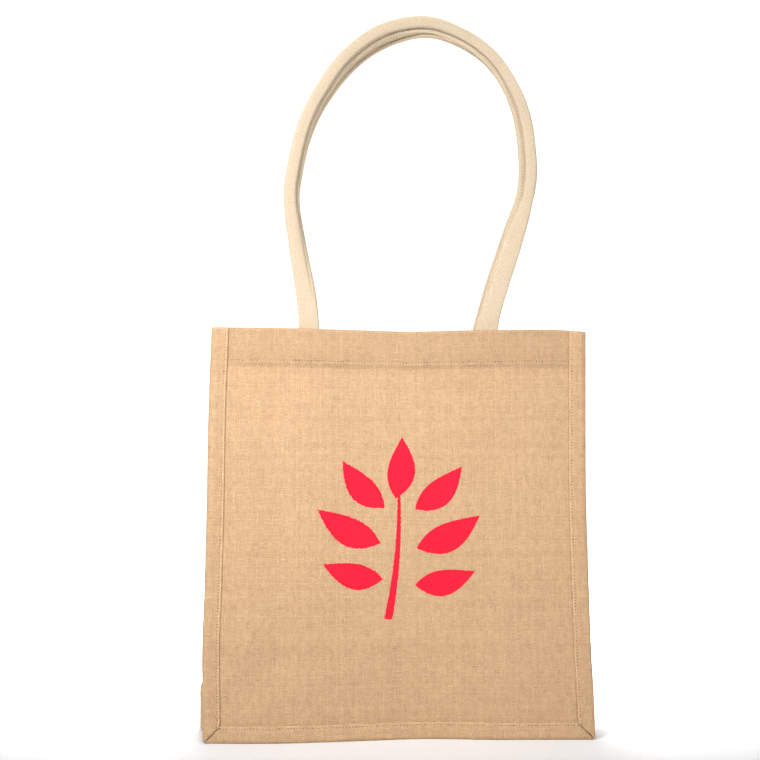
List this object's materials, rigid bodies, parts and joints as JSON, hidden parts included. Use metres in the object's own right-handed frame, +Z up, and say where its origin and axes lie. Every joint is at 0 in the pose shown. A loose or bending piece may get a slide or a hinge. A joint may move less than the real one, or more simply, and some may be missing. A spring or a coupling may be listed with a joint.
{
  "type": "burlap shopping bag",
  "caption": "Burlap shopping bag that stands open on a wide bottom gusset, with folded side gussets, hemmed mouth and two padded cotton handles.",
  "frame": {"origin": "on the ground under the middle of the base", "axes": "X to the right as the front is seen, Y from the front to the back, Z up towards the handles"},
  "size_m": [0.4156, 0.1681, 0.7473],
  "materials": {
    "burlap": "plain-woven natural jute with slubs",
    "burlap_gusset": "plain-woven natural jute, margins turned and stitched",
    "cotton_webbing": "unbleached cotton twill webbing, padded and stitched"
  },
  "bodies": {
    "root": {"front_panel": "burlap", "back_panel": "burlap", "gusset_left": "burlap_gusset", "gusset_right": "burlap_gusset", "gusset_bottom": "burlap_gusset", "handle_front": "cotton_webbing", "handle_back": "cotton_webbing"}
  },
  "joints": []
}
